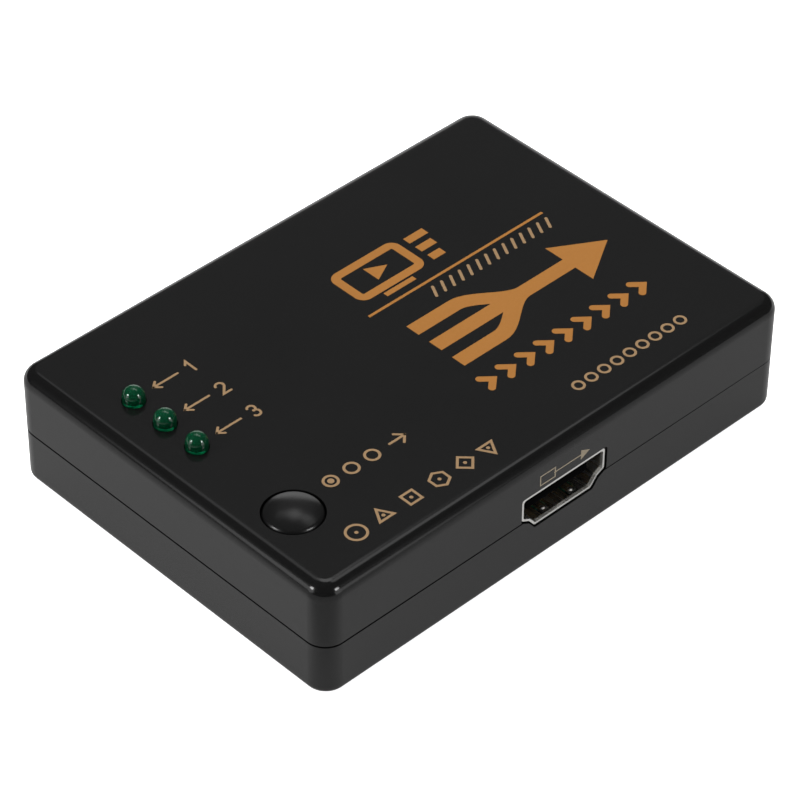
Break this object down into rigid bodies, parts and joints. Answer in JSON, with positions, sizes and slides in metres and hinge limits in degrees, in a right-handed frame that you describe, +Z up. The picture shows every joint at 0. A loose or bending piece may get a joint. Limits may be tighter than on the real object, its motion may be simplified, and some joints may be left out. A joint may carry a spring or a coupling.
{
  "type": "hdmi switch box",
  "caption": "Small black video switch box: video sockets front and rear, green indicator lamps, and a push button that travels onto a tact switch.",
  "frame": {"origin": "centre of the underside of the bottom shell", "axes": "+X to the right seen from the output socket's side, +Y towards the input sockets, +Z up"},
  "size_m": [0.082, 0.058, 0.0198],
  "materials": {
    "shell_black": "smooth semi-gloss moulded black",
    "button_black": "polished black",
    "lamp_green": "clear dyed green epoxy",
    "socket_steel": "bright plated sheet",
    "insert_black": "matt black moulding",
    "contact_gold": "thin gold plate",
    "screw_steel": "zinc plated",
    "tinned_copper": "bright tin",
    "switch_plastic": "matt black moulding",
    "switch_steel": "plated sheet",
    "board_green": "green solder mask",
    "chip_black": "matt moulded epoxy",
    "ceramic_tan": "fired ceramic with tinned ends",
    "can_aluminium": "drawn can"
  },
  "bodies": {
    "case": {"bottom_shell": "shell_black", "capacitor_base": "chip_black", "capacitor_can": "can_aluminium", "case_screws": "screw_steel", "ceramic_capacitors": "ceramic_tan", "chip_resistors": "chip_black", "circuit_board": "board_green", "controller_chip": "chip_black", "controller_chip_leads": "tinned_copper", "crystal_can": "can_aluminium", "eye_jack_body": "insert_black", "eye_jack_leads": "tinned_copper", "input_1_socket_contacts": "contact_gold", "input_1_socket_insert": "insert_black", "input_1_socket_shell": "socket_steel", "input_2_socket_contacts": "contact_gold", "input_2_socket_insert": "insert_black", "input_2_socket_shell": "socket_steel", "input_3_socket_contacts": "contact_gold", "input_3_socket_insert": "insert_black", "input_3_socket_shell": "socket_steel", "lamp_1_leads": "tinned_copper", "lamp_1_lens": "lamp_green", "lamp_2_leads": "tinned_copper", "lamp_2_lens": "lamp_green", "lamp_3_leads": "tinned_copper", "lamp_3_lens": "lamp_green", "output_socket_contacts": "contact_gold", "output_socket_insert": "insert_black", "output_socket_shell": "socket_steel", "power_jack_body": "insert_black", "power_jack_leads": "tinned_copper", "power_jack_pin": "socket_steel", "regulator_body": "chip_black", "regulator_leads": "tinned_copper", "surge_arrays": "chip_black", "switch_base": "switch_plastic", "switch_chip": "chip_black", "switch_chip_leads": "tinned_copper", "switch_cover": "switch_steel", "switch_dome": "switch_steel", "switch_leads": "tinned_copper", "top_shell": "shell_black"},
    "button": {"button_cap": "button_black", "switch_plunger": "switch_plastic"}
  },
  "joints": [
    {"name": "button_press", "type": "slide", "parent": "case", "child": "button", "axis": [0, 0, -1], "range_m": [0, 0.0003], "stiffness_N_per_m": 5200, "deforming": ["switch_dome"]}
  ]
}
